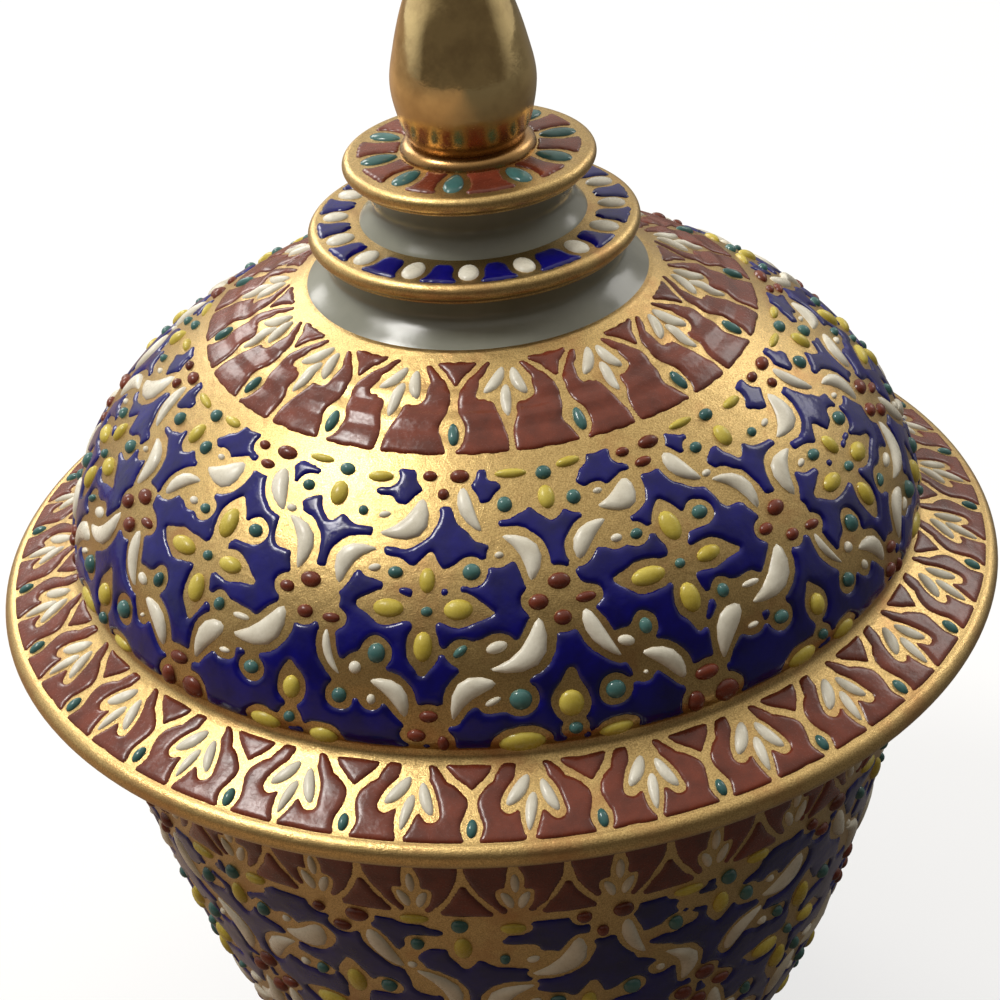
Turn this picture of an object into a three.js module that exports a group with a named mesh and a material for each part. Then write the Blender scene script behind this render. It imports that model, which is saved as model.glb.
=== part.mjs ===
// A covered porcelain jar: a bowl on a foot ring, and a domed lid with a wide brim, a knob of
// two tiers and a lotus-bud finial. The lid drops into the bowl's mouth by a ring under its brim.
// Millimetres, +Z up. The origin is the centre of the face that the foot rests on.

import * as THREE from "three";
import { mergeVertices } from "three/addons/utils/BufferGeometryUtils.js";

// Foot ring
const footHeight = 7;
const footSetIn = 1.6; // of its top, inside the bowl's base
const footFlare = 1.5; // how far its resting face stands out past its top
const footWaistDepth = 0.8; // how far it draws in between the two
const footWall = 4.2;
const footRound = 0.8; // rounding of the edges that touch the table

// Bowl
const bowlHeight = 80; // table to the flat mouth
const bowlMouthRadius = 55.6; // outside
const bowlBaseRadius = 31.6; // outside, where the wall meets the foot ring
const bowlWall = 3;
const bowlFloor = 4;
const mouthRound = 0.9; // rounding of the mouth's outer and inner edges

// Lid: brim, dome and the ring under the brim
const brimOverhang = 8.4; // of the rolled rim, past the bowl's mouth
const rimRollRadius = 1.5; // the rim is one full round of this radius
const domeSetIn = 2.4; // of the line where the dome leaves the brim, inside the bowl's mouth
const domeFootRise = 7.1; // of that line above the bowl's mouth
const domeFillet = 1.2; // between brim and dome
const domeSwell = 0.5; // how far the dome swells past its foot
const domeHeight = 33; // from its foot to the flat under the knob
const domeTopRadius = 21.2; // of that flat
const domeTopWall = 3.8;
const ringClearance = 0.5; // between the ring's foot and the bowl's wall, all round
const ringDepth = 5.5; // how far the ring drops into the mouth
const ringWall = 2.6;
const ringRound = 1; // rounding of the ring's lower edges

// Knob: two tiers, each a hollow-curved neck under a disc with a rolled edge
const lowerTierSizes = {
  baseRadius: 20.8,
  waistRadius: 17.9,
  edgeRadius: 20,
  neckHeight: 5.35,
  rollRadius: 1.05,
  lineInset: 1, // of the fine line under the roll, from the disc's edge
  lineHeight: 0.5,
  crown: 0.35, // rise of the disc's top towards the middle
};
const upperTierSizes = {
  baseRadius: 13.7,
  waistRadius: 11.9,
  edgeRadius: 15.1,
  neckHeight: 6.1,
  rollRadius: 0.95,
  lineInset: 0.9,
  lineHeight: 0.45,
  crown: 0.3,
};

// Finial
const collarRadius = 8.1;
const collarHeight = 1.3;
const budRadius = 8.6;
const budBaseRadius = 6.6;
const budHeight = 31.8;

// Outlines as shares of the sizes that they follow, each point [across, up]
// The bowl's wall: across from its base radius to its mouth radius, up from foot to mouth.
const wallShares = [[0, 0], [0.13, 0.032], [0.345, 0.14], [0.565, 0.33], [0.745, 0.56], [0.888, 0.78], [1, 1]];
// The dome above its swell: across as a share of its foot radius, up as a share of its height.
const domeShares = [[0.957, 0.348], [0.84, 0.582], [0.64, 0.814]];
const swellShare = 0.12; // height of the dome's widest line
// The bud: across as a share of its radius, up as a share of its height.
const budLowShares = [[0.91, 0.08], [1, 0.222], [0.912, 0.362], [0.751, 0.512]];
const budTipShares = [[0.494, 0.672], [0.331, 0.772], [0.186, 0.872], [0.07, 0.965]];
const footWaistShare = 0.45; // height of the foot ring's narrowest line
const neckWaistShare = 0.42; // height of a neck's narrowest line

// Facets
const roundFacets = 64; // round the bowl and the lid
const knobFacets = 40; // round the knob and the finial
const wallSteps = 12; // along the bowl's wall
const domeSteps = 11;
const budSteps = 15;
const neckSteps = 6;
const rollSteps = 6;
const smallRoundSteps = 2;

// Sizes and places worked out from the sizes above
const footTopRadius = bowlBaseRadius - footSetIn;
const footWaistRadius = footTopRadius - footWaistDepth;
const footRadius = footTopRadius + footFlare;
const brimRadius = bowlMouthRadius + brimOverhang;
const domeFootRadius = bowlMouthRadius - domeSetIn;
const domeFootZ = bowlHeight + domeFootRise;
const domeTopZ = domeFootZ + domeHeight;
const ringFootZ = bowlHeight - ringDepth;
const tierTop = (tier, lowZ) => lowZ + tier.neckHeight + 2 * tier.rollRadius + tier.crown;
const upperTierZ = tierTop(lowerTierSizes, domeTopZ);
const collarZ = tierTop(upperTierSizes, upperTierZ);
const budZ = collarZ + collarHeight;

function point(across, up) {
  return new THREE.Vector2(across, up);
}

// Points of a round about a centre, from one angle to another. Angles are in quarter turns:
// 0 is straight outwards, 1 straight up, 2 straight inwards and -1 or 3 straight down.
function round(across, up, radius, fromQuarter, toQuarter, steps) {
  const points = [];
  for (let i = 0; i <= steps; i++) {
    const angle = THREE.MathUtils.lerp(fromQuarter, toQuarter, i / steps) * (Math.PI / 2);
    points.push(point(across + radius * Math.cos(angle), up + radius * Math.sin(angle)));
  }
  return points;
}

// Points of a smooth curve through a few points of an outline.
function smooth(outline, steps) {
  return new THREE.SplineCurve(outline).getPoints(steps);
}

// The same outline set off by a distance, to the left of the way it runs.
function offset(outline, distance) {
  return outline.map((here, i) => {
    const before = outline[Math.max(i - 1, 0)];
    const after = outline[Math.min(i + 1, outline.length - 1)];
    const along = after.clone().sub(before).normalize();
    return point(here.x - along.y * distance, here.y + along.x * distance);
  });
}

// How far out a rising outline is at a height.
function acrossAt(outline, height) {
  const next = Math.max(outline.findIndex((p) => p.y >= height), 1);
  const [low, high] = outline.slice(next - 1, next + 1);
  return THREE.MathUtils.mapLinear(height, low.y, high.y, low.x, high.x);
}

// The bowl's wall from its base up to the mouth, outside and inside.
const wallOutside = smooth(wallShares.map(([across, up]) => point(
  THREE.MathUtils.lerp(bowlBaseRadius, bowlMouthRadius, across),
  THREE.MathUtils.lerp(footHeight, bowlHeight, up),
)), wallSteps);
const wallInside = offset(wallOutside, bowlWall);

// The ring stands off the bowl's wall at its own foot, where the mouth has drawn in a little.
const ringRadius = acrossAt(wallInside, ringFootZ) - ringClearance;
const ringInnerRadius = ringRadius - ringWall;

// A closed body turned about the Z axis. Its outline keeps the clay on the left of the way
// it runs, and either closes on itself or starts and ends on the axis.
function turned(outline, facets) {
  const lathe = new THREE.LatheGeometry(outline, facets);
  lathe.deleteAttribute("normal");
  lathe.deleteAttribute("uv");
  lathe.rotateX(Math.PI / 2);
  const body = mergeVertices(lathe);
  const corners = Array.from(body.index.array);
  const kept = [];
  for (let i = 0; i < corners.length; i += 3) {
    const [a, b, c] = corners.slice(i, i + 3);
    const foldedFlat = a === b || b === c || c === a; // as the lathe leaves them on the axis
    if (!foldedFlat) kept.push(a, b, c);
  }
  body.setIndex(kept);
  body.computeVertexNormals();
  return body;
}

const closed = (outline) => [...outline, outline[0].clone()];

function footRing() {
  const innerRadius = footRadius - footWall;
  const side = smooth([
    point(footRadius, footRound),
    point(footWaistRadius, footHeight * footWaistShare),
    point(footTopRadius, footHeight),
  ], neckSteps);
  return turned(closed([
    ...round(footRadius - footRound, footRound, footRound, -1, 0, smallRoundSteps),
    ...side.slice(1),
    point(footTopRadius - footWall, footHeight),
    ...round(innerRadius + footRound, footRound, footRound, 2, 3, smallRoundSteps),
  ]), roundFacets);
}

function bowlShell() {
  const floorZ = footHeight + bowlFloor;
  const roundZ = bowlHeight - mouthRound;
  const outside = wallOutside.filter((p) => p.y < roundZ);
  const inside = wallInside.filter((p) => p.y > floorZ && p.y < roundZ).reverse();
  const lowest = inside[inside.length - 1];
  return turned([
    point(0, footHeight),
    ...outside,
    ...round(bowlMouthRadius - mouthRound, roundZ, mouthRound, 0, 1, smallRoundSteps),
    ...round(bowlMouthRadius - bowlWall + mouthRound, roundZ, mouthRound, 1, 2, smallRoundSteps),
    ...inside,
    point(lowest.x - bowlWall, floorZ),
    point(0, floorZ),
  ], roundFacets);
}

// The dome's curve, outside or inside, from its foot up to the flat at its top.
function domeCurve(startRadius, topRadius, lowZ, height) {
  return smooth([
    point(startRadius, lowZ),
    point(startRadius + domeSwell, domeFootZ + height * swellShare),
    ...domeShares.map(([across, up]) => point(startRadius * across, domeFootZ + height * up)),
    point(topRadius, domeFootZ + height),
  ], domeSteps);
}

function lidShell() {
  const rollAcross = brimRadius - rimRollRadius;
  const brimTopZ = bowlHeight + 2 * rimRollRadius;
  const brimSlope = (domeFootZ - brimTopZ) / (rollAcross - domeFootRadius);
  const outside = domeCurve(domeFootRadius, domeTopRadius, domeFootZ + domeFillet, domeHeight);
  const innerTopRadius = domeTopRadius - domeTopWall / 2;
  const inside = domeCurve(ringInnerRadius, innerTopRadius, domeFootZ, domeHeight - domeTopWall);
  const fillet = new THREE.QuadraticBezierCurve(
    point(domeFootRadius + domeFillet, domeFootZ - domeFillet * brimSlope),
    point(domeFootRadius, domeFootZ),
    outside[0],
  ).getPoints(smallRoundSteps);
  return turned([
    point(0, domeTopZ - domeTopWall),
    ...inside.reverse(),
    point(ringInnerRadius, bowlHeight),
    ...round(rollAcross, bowlHeight + rimRollRadius, rimRollRadius, -1, 1, rollSteps),
    ...fillet,
    ...outside.slice(1),
    point(0, domeTopZ),
  ], roundFacets);
}

function locatingRing() {
  const roundZ = ringFootZ + ringRound;
  return turned(closed([
    ...round(ringInnerRadius + ringRound, roundZ, ringRound, 2, 3, smallRoundSteps),
    ...round(ringRadius - ringRound, roundZ, ringRound, 3, 4, smallRoundSteps),
    point(ringRadius, bowlHeight),
    point(ringInnerRadius, bowlHeight),
  ]), roundFacets);
}

// One tier of the knob: a hollow-curved neck, a fine line and a disc with a rolled edge, whose
// top rises to a flat seat for what stands on it.
function tierBody(tier, lowZ, seatRadius) {
  const lineRadius = tier.edgeRadius - tier.lineInset;
  const neckTopZ = lowZ + tier.neckHeight;
  const neck = smooth([
    point(tier.baseRadius, lowZ),
    point(tier.waistRadius, lowZ + tier.neckHeight * neckWaistShare),
    point(lineRadius - tier.lineHeight, neckTopZ - tier.lineHeight),
  ], neckSteps);
  const rollStart = -0.7; // quarter turns, where the roll leaves the fine line
  return turned([
    point(0, lowZ),
    ...neck,
    point(lineRadius, neckTopZ - tier.lineHeight),
    point(lineRadius, neckTopZ),
    ...round(tier.edgeRadius - tier.rollRadius, neckTopZ + tier.rollRadius, tier.rollRadius, rollStart, 1, rollSteps),
    point(seatRadius, tierTop(tier, lowZ)),
    point(0, tierTop(tier, lowZ)),
  ], knobFacets);
}

function finialCollar() {
  return turned([
    point(0, collarZ),
    ...round(collarRadius - collarHeight, collarZ, collarHeight, 0, 1, smallRoundSteps),
    point(0, budZ),
  ], knobFacets);
}

function finialBud() {
  const side = smooth([
    point(budBaseRadius, budZ),
    ...[...budLowShares, ...budTipShares].map(([across, up]) => point(budRadius * across, budZ + budHeight * up)),
    point(0, budZ + budHeight),
  ], budSteps);
  return turned([point(0, budZ), ...side], knobFacets);
}

// Finishes, as the glaze, enamel and gilding look from a step away
const cobaltAndGold = new THREE.MeshStandardMaterial({ color: 0x3a3570, roughness: 0.25, metalness: 0.1 });
const maroonAndGold = new THREE.MeshStandardMaterial({ color: 0x7a4636, roughness: 0.25, metalness: 0.1 });
const paleGlaze = new THREE.MeshStandardMaterial({ color: 0xd9ddd2, roughness: 0.15, metalness: 0 });
const gilding = new THREE.MeshStandardMaterial({ color: 0xc9a05a, roughness: 0.3, metalness: 1 });

const jar = new THREE.Group();
const bowl = new THREE.Group();
const lid = new THREE.Group();
jar.add(bowl, lid);

function addPiece(group, name, body, finish) {
  const piece = new THREE.Mesh(body, finish);
  piece.name = name;
  group.add(piece);
}

addPiece(bowl, "bowl_foot_ring", footRing(), gilding);
addPiece(bowl, "bowl_wall", bowlShell(), cobaltAndGold);
addPiece(lid, "lid_locating_ring", locatingRing(), paleGlaze);
addPiece(lid, "lid_dome", lidShell(), maroonAndGold);
addPiece(lid, "knob_lower_tier", tierBody(lowerTierSizes, domeTopZ, upperTierSizes.baseRadius), paleGlaze);
addPiece(lid, "knob_upper_tier", tierBody(upperTierSizes, upperTierZ, collarRadius), paleGlaze);
addPiece(lid, "finial_collar", finialCollar(), gilding);
addPiece(lid, "finial_bud", finialBud(), gilding);

export default jar;
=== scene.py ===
# The looks of a covered porcelain jar in raised enamel and gold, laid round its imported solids.

import math
import random

import bpy
import numpy as np
from mathutils import Matrix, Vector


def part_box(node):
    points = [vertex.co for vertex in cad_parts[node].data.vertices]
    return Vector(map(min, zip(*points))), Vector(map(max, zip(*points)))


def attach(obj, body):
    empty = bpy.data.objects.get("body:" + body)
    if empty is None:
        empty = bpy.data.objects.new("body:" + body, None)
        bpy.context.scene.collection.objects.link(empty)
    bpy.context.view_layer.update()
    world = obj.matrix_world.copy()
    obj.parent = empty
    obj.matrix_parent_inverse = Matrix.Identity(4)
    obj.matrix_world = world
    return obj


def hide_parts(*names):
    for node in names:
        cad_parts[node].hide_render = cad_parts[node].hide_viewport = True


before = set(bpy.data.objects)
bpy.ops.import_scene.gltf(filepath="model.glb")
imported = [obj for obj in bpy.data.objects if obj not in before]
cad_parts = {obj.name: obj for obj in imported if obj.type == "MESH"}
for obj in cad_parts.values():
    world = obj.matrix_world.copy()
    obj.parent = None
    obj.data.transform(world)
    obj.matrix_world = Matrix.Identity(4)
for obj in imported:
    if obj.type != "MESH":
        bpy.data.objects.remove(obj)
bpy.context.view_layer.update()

mm = 0.001  # lengths in this file are millimetres until they meet this
hand = random.Random(11)  # the unevenness of hand work, the same each run


# Outlines and surfaces of revolution

def nodeSize(node):
    # radius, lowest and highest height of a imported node, in millimetres
    low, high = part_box(node)
    return high.x / mm, low.z / mm, high.z / mm


def smoothLine(points, steps):
    # a smooth curve through a few points, the same one that the solids follow
    points = [np.array(p, float) for p in points]
    last = len(points) - 1
    line = []
    for i in range(steps + 1):
        place = i / steps * last
        k = min(int(place), last - 1)
        t = place - k
        before, here = points[max(k - 1, 0)], points[k]
        after, beyond = points[k + 1], points[min(k + 2, last)]
        pullHere = (after - before) / 2
        pullAfter = (beyond - here) / 2
        cubic = 2 * here - 2 * after + pullHere + pullAfter
        square = -3 * here + 3 * after - 2 * pullHere - pullAfter
        line.append(tuple(cubic * t**3 + square * t**2 + pullHere * t + here))
    return line


def roundLine(across, up, radius, fromQuarter, toQuarter, steps):
    # part of a round; quarter turns count from outwards (0) over upwards (1) to inwards (2)
    turns = [fromQuarter + (toQuarter - fromQuarter) * i / steps for i in range(steps + 1)]
    return [
        (across + radius * math.cos(q * math.pi / 2), up + radius * math.sin(q * math.pi / 2))
        for q in turns
    ]


def straightLine(start, end, steps):
    return [
        (start[0] + (end[0] - start[0]) * i / steps, start[1] + (end[1] - start[1]) * i / steps)
        for i in range(steps + 1)
    ]


def offsetLine(line, distance):
    # the same line set off to the left of the way it runs
    points = np.array(line, float)
    along = np.gradient(points, axis=0)
    along /= np.linalg.norm(along, axis=1)[:, None]
    left = np.stack([-along[:, 1], along[:, 0]], axis=1)
    return [tuple(p) for p in points + left * distance]


def surfaceOf(line):
    # a turned surface, measured by the length along its outline; it faces right of the line
    points = np.array(line, float)
    step = np.hypot(*np.diff(points, axis=0).T)
    along = np.concatenate([[0], np.cumsum(step)])
    slope = np.gradient(points, along, axis=0)
    slope /= np.linalg.norm(slope, axis=1)[:, None]
    return {
        "along": along,
        "across": points[:, 0],
        "up": points[:, 1],
        "outAcross": slope[:, 1],
        "outUp": -slope[:, 0],
    }


def radiusAt(surface, along):
    return np.interp(along, surface["along"], surface["across"])


def onSurface(surface, angle, along, lift):
    # points in metres; angle 0 faces the camera and grows to the right
    across = radiusAt(surface, along) + lift * np.interp(along, surface["along"], surface["outAcross"])
    up = np.interp(along, surface["along"], surface["up"])
    up = up + lift * np.interp(along, surface["along"], surface["outUp"])
    return np.stack([across * np.sin(angle), -across * np.cos(angle), up], axis=-1) * mm


# Modelling by hand: a point is drawn out along the outline and spun round the axis

def clearSelection():
    if bpy.context.mode != "OBJECT":
        bpy.ops.object.mode_set(mode="OBJECT")
    bpy.ops.object.select_all(action="DESELECT")


def editWhole():
    bpy.ops.object.mode_set(mode="EDIT")
    bpy.ops.mesh.select_all(action="SELECT")


def closeWhole(weldGap):
    # merges points closer than this, in metres, and turns every face outwards
    bpy.ops.mesh.select_all(action="SELECT")
    bpy.ops.mesh.remove_doubles(threshold=weldGap)
    bpy.ops.mesh.normals_make_consistent(inside=False)
    bpy.ops.object.mode_set(mode="OBJECT")


weldGap = 0.004  # of a turned piece, in millimetres


def turnPiece(name, outline, turns=192, crease=40):
    clearSelection()
    (firstAcross, firstUp) = outline[0]
    bpy.ops.mesh.primitive_plane_add(size=mm, location=(firstAcross * mm, 0, firstUp * mm))
    piece = bpy.context.object
    piece.name = name
    editWhole()
    bpy.ops.mesh.merge(type="CENTER")
    for (across, up), (nextAcross, nextUp) in zip(outline, outline[1:]):
        pull = ((nextAcross - across) * mm, 0, (nextUp - up) * mm)
        bpy.ops.mesh.extrude_region_move(TRANSFORM_OT_translate={"value": pull})
    bpy.ops.mesh.select_all(action="SELECT")
    bpy.ops.mesh.spin(steps=turns, angle=2 * math.pi, center=(0, 0, 0), axis=(0, 0, 1))
    closeWhole(weldGap * mm)
    bpy.ops.object.transform_apply(location=True, rotation=True, scale=True)
    bpy.ops.object.shade_smooth_by_angle(angle=math.radians(crease))
    return piece


def finishPiece(piece, body, slot, *nodes, finish=None):
    piece.data.materials.clear()
    piece.data.materials.append(finishes[finish or slot])
    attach(piece, body)
    if nodes:
        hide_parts(*nodes)


# Finishes

def feed(tree, node, values):
    # a value is a number, a colour, a direction or the output of another node
    for key, value in values.items():
        if isinstance(value, bpy.types.NodeSocket):
            tree.links.new(value, node.inputs[key])
        else:
            node.inputs[key].default_value = value


def newFinish(name, color, roughness, metallic=0.0, gloss=0.5):
    material = bpy.data.materials.new(name)
    material.use_nodes = True
    tree = material.node_tree
    shader = tree.nodes["Principled BSDF"]
    feed(tree, shader, {"Base Color": (*color, 1), "Roughness": roughness})
    feed(tree, shader, {"Metallic": metallic, "Specular IOR Level": gloss})
    place = tree.nodes.new("ShaderNodeTexCoord")
    return material, tree, shader, place.outputs["Object"]


def noiseOf(tree, place, size, detail=2.0, rough=0.5):
    # noise whose features are about this many millimetres across
    noise = tree.nodes.new("ShaderNodeTexNoise")
    feed(tree, noise, {"Vector": place, "Scale": 1 / (size * mm)})
    feed(tree, noise, {"Detail": detail, "Roughness": rough})
    return noise.outputs["Fac"]


def spread(tree, value, low, high, toLow=0.0, toHigh=1.0):
    remap = tree.nodes.new("ShaderNodeMapRange")
    feed(tree, remap, {"Value": value, "From Min": low, "From Max": high})
    feed(tree, remap, {"To Min": toLow, "To Max": toHigh})
    return remap.outputs["Result"]


def blendColors(tree, share, colorA, colorB):
    # a colour is three numbers or the output of another node
    mix = tree.nodes.new("ShaderNodeMix")
    mix.data_type = "RGBA"
    feed(tree, mix, {"Factor": share})
    for key, color in ((6, colorA), (7, colorB)):
        feed(tree, mix, {key: (*color, 1) if isinstance(color, tuple) else color})
    return mix.outputs[2]


def mathOf(tree, operation, *values):
    node = tree.nodes.new("ShaderNodeMath")
    node.operation = operation
    feed(tree, node, dict(enumerate(values)))
    return node.outputs["Value"]


def axisOf(tree, place, axis):
    parts = tree.nodes.new("ShaderNodeSeparateXYZ")
    feed(tree, parts, {"Vector": place})
    return parts.outputs[axis]


def roughen(tree, shader, layers):
    # bumps laid over each other, each a (noise, height in millimetres, strength)
    normal = {}
    for height, distance, strength in layers:
        bump = tree.nodes.new("ShaderNodeBump")
        feed(tree, bump, {"Height": height, "Distance": distance * mm, "Strength": strength})
        feed(tree, bump, normal)
        normal = {"Normal": bump.outputs["Normal"]}
    feed(tree, shader, normal)


# A finish is laid on by its noises. A noise is its size in millimetres, its detail and its
# roughness. A tone is a noise, what part of it is spread to what, and the colour it brings.
# A bump is a noise, its height in millimetres and its strength.

def enamelLook(color, deep, roughness, wave, waveHeight):
    # glossy, pooled a little deeper in places, with pinholes
    return {
        "color": color,
        "roughness": roughness,
        "gloss": 0.4,
        "noises": {"pool": (3.5, 3, 0.6), "fine": (0.35, 2), "wave": (wave, 2)},
        "tones": [("pool", (0.35, 0.68), deep)],
        "rough": ("fine", (0.3, 0.7, roughness * 0.75, roughness * 1.4)),
        "bumps": [("wave", waveHeight, 0.4), ("fine", 0.03, 0.4)],
    }


def glazeLook(color, shade):
    return {
        "color": color,
        "roughness": 0.2,
        "noises": {"cloud": (12, 4, 0.6), "pits": (0.6, 2), "swell": (5, 1)},
        "tones": [("cloud", (0.4, 0.7), shade)],
        "bumps": [("swell", 0.3, 0.3), ("pits", 0.03, 0.2)],
    }


looks = {
    "gilding": {
        # brushed over the glaze: fine grained, a little uneven, redder where it is thin
        "color": (0.68, 0.49, 0.21),
        "roughness": 0.36,
        "metallic": 1.0,
        "noises": {"grain": (0.17, 3, 0.6), "ripple": (1.5, 2), "patch": (8, 4, 0.6)},
        "tones": [
            ("grain", (0.36, 0.62), (0.41, 0.275, 0.11)),
            ("patch", (0.54, 0.78, 0, 0.8), (0.42, 0.20, 0.08)),
        ],
        "rough": ("grain", (0.3, 0.7, 0.27, 0.42)),
        "bumps": [("ripple", 0.18, 0.4), ("grain", 0.05, 0.7)],
    },
    "bright_gilding": {
        # rubbed smooth, and darker, browner and rougher at the finial's foot: painted shade where the
        # bud meets the collar
        "color": (0.93, 0.71, 0.34),
        "roughness": 0.12,
        "metallic": 1.0,
        "noises": {"cloud": (5, 4, 0.6), "fine": (0.5, 3, 0.6), "swell": (4, 1)},
        "tones": [("cloud", (0.45, 0.72), (0.6, 0.44, 0.21))],
        "rough": ("fine", (0.35, 0.75, 0.09, 0.2)),
        "bumps": [("swell", 0.3, 0.3), ("fine", 0.03, 0.3)],
        # the foot's painted shade, from and to in millimetres over the bud's seat
        "foot": {"color": (0.38, 0.22, 0.085), "from": 1.5, "to": 9, "rougher": 0.15},
    },
    # colour, where it is deep, roughness, then the size and height of its waves
    "cobalt_enamel": enamelLook((0.004, 0.003, 0.16), (0.003, 0.002, 0.085), 0.15, 3, 0.3),
    "maroon_enamel": enamelLook((0.19, 0.038, 0.018), (0.11, 0.023, 0.012), 0.22, 3, 0.3),
    "yellow_enamel": enamelLook((0.66, 0.55, 0.10), (0.50, 0.39, 0.05), 0.26, 1.2, 0.12),
    "white_enamel": enamelLook((0.82, 0.79, 0.68), (0.65, 0.61, 0.50), 0.28, 1.2, 0.12),
    "turquoise_enamel": enamelLook((0.075, 0.19, 0.18), (0.035, 0.11, 0.11), 0.12, 1.2, 0.1),
    "white_glaze": glazeLook((0.6, 0.62, 0.56), (0.5, 0.52, 0.46)),
    # the white glaze darkened for the knob's necks: painted shade under the discs
    "neck_glaze_painted_shade": glazeLook((0.245, 0.25, 0.2), (0.19, 0.195, 0.155)),
}


# painted shade: darker, browner and rougher towards the bud's seat
def footShade(tree, place, foot, tone, rough):
    _, seatZ, _ = nodeSize("finial_bud")
    low, high = (seatZ + foot["from"]) * mm, (seatZ + foot["to"]) * mm
    share = spread(tree, axisOf(tree, place, "Z"), low, high, 1, 0)
    rough = mathOf(tree, "MULTIPLY_ADD", share, foot["rougher"], rough)
    return blendColors(tree, share, tone, foot["color"]), rough


def layFinish(name, look):
    material, tree, shader, place = newFinish(
        name, look["color"], look["roughness"], look.get("metallic", 0.0), look.get("gloss", 0.5)
    )
    noises = {key: noiseOf(tree, place, *shape) for key, shape in look["noises"].items()}
    tone = look["color"]
    for key, span, color in look["tones"]:
        tone = blendColors(tree, spread(tree, noises[key], *span), tone, color)
    if "rough" in look:
        key, span = look["rough"]
        rough = spread(tree, noises[key], *span)
        # the finial's foot takes its painted shade
        if "foot" in look:
            tone, rough = footShade(tree, place, look["foot"], tone, rough)
        feed(tree, shader, {"Roughness": rough})
    feed(tree, shader, {"Base Color": tone})
    roughen(tree, shader, [(noises[key], *bump) for key, *bump in look["bumps"]])
    return material


finishes = {name: layFinish(name, look) for name, look in looks.items()}
enamels = ("cobalt", "maroon", "yellow", "white", "turquoise")
print("finishes made")


# The shape of the jar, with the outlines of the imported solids

mouthRadius, bowlBaseZ, mouthZ = nodeSize("bowl_wall")
brimRadius, _, domeTopZ = nodeSize("lid_dome")
footRadius, _, footHeight = nodeSize("bowl_foot_ring")
ringRadius, ringFootZ, _ = nodeSize("lid_locating_ring")
lowerBaseRadius, lowerTierZ, upperTierZ = nodeSize("knob_lower_tier")
upperEdgeRadius, _, collarZ = nodeSize("knob_upper_tier")
collarRadius, _, budZ = nodeSize("finial_collar")
budRadius, _, budTopZ = nodeSize("finial_bud")

goldSkin = 0.16  # thickness of the gold ground over the porcelain
goldTuck = 0.02  # how far its ends are tucked under

bowl = {
    "baseRadius": 31.6,
    "wall": 3,
    "floor": 4,
    "mouthRound": 0.9,
    "mouthLap": 0.3,  # how far the gold runs in over the mouth
    "wallShares": [
        (0, 0), (0.13, 0.032), (0.345, 0.14), (0.565, 0.33), (0.745, 0.56), (0.888, 0.78), (1, 1),
    ],
    "cornerHeight": 1,
    "cornerInset": 1.2,
    "cornerRise": 0.25,
    "cornerReach": 3,
    "footWall": 4.2,
    "footRound": 0.8,
    "footWaist": 29.2,
    "footWaistShare": 0.45,
    "footTop": 30,
}

wallLine = smoothLine([
    (
        bowl["baseRadius"] + (mouthRadius - bowl["baseRadius"]) * across,
        bowlBaseZ + (mouthZ - bowlBaseZ) * up,
    )
    for across, up in bowl["wallShares"]
], 96)
wallSurface = surfaceOf(wallLine)


def makeBowl():
    size = bowl
    turn = size["mouthRound"]
    roundZ = mouthZ - turn
    roundX = mouthRadius - turn
    floorZ = bowlBaseZ + size["floor"]
    innerZ = floorZ + size["cornerHeight"]
    under = [p for p in offsetLine(wallLine, goldSkin) if p[1] < roundZ]
    inner = [p for p in offsetLine(wallLine, size["wall"]) if innerZ < p[1] < roundZ][::-1]
    lowest = inner[-1]
    corner = smoothLine([
        lowest,
        (lowest[0] - size["cornerInset"], floorZ + size["cornerRise"]),
        (lowest[0] - size["cornerReach"], floorZ),
    ], 6)
    lipOut = roundLine(roundX, roundZ, turn - goldSkin, 0, 1, 6)
    lipIn = roundLine(mouthRadius - size["wall"] + turn, roundZ, turn, 1, 2, 6)
    flat = (roundX - size["mouthLap"], mouthZ)
    body = turnPiece("bowl_porcelain", [
        (0, bowlBaseZ), (under[0][0], bowlBaseZ), *under[1:], *lipOut[:-1], flat, *lipIn, *inner,
        *corner[1:], (0, floorZ),
    ])
    finishPiece(body, "bowl", "white_glaze", "bowl_wall")

    outer = [p for p in wallLine if p[1] < roundZ]
    lip = roundLine(roundX, roundZ, turn, 0, 1, 8)
    skin = turnPiece("bowl_gilding", [
        (under[0][0] - goldTuck, bowlBaseZ), *outer, *lip,
        (lip[-1][0] - size["mouthLap"], mouthZ - goldTuck), *lipOut[::-1][1:], *under[::-1],
    ])
    finishPiece(skin, "bowl", "gilding")


def makeFoot():
    size = bowl
    inner = footRadius - size["footWall"]
    turn = size["footRound"]
    side = smoothLine([
        (footRadius, turn),
        (size["footWaist"], footHeight * size["footWaistShare"]),
        (size["footTop"], footHeight),
    ], 18)
    foot = turnPiece("foot_ring_gilding", [
        (inner, footHeight), (inner, turn), *roundLine(inner + turn, turn, turn, 2, 3, 5)[1:],
        *roundLine(footRadius - turn, turn, turn, -1, 0, 5), *side[1:], (inner, footHeight),
    ])
    finishPiece(foot, "bowl", "gilding", "bowl_foot_ring")


lid = {
    "roll": 1.5,
    "domeFoot": 53.2,
    "domeFootRise": 7.1,
    "fillet": 1.2,
    "filletShoulder": 0.25,
    "swell": 0.5,
    "swellShare": 0.12,
    "domeShares": [(0.957, 0.348), (0.84, 0.582), (0.64, 0.814)],
    "topRadius": 21.2,
    "topLap": 2,
    "topWall": 3.8,
    "ringWall": 2.6,
    "ringRound": 1,
    "ripple": 0.13,
    "ripplePeak": 42.05,
    "rippleLength": 3.4,
    "rippleMiddle": 40.0,
    "rippleSpan": 3.4,
}


def domeLine(startRadius, topRadius, lowZ, height, steps):
    footZ = mouthZ + lid["domeFootRise"]
    return smoothLine([
        (startRadius, lowZ),
        (startRadius + lid["swell"], footZ + height * lid["swellShare"]),
        *[(startRadius * across, footZ + height * up) for across, up in lid["domeShares"]],
        (topRadius, footZ + height),
    ], steps)


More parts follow.
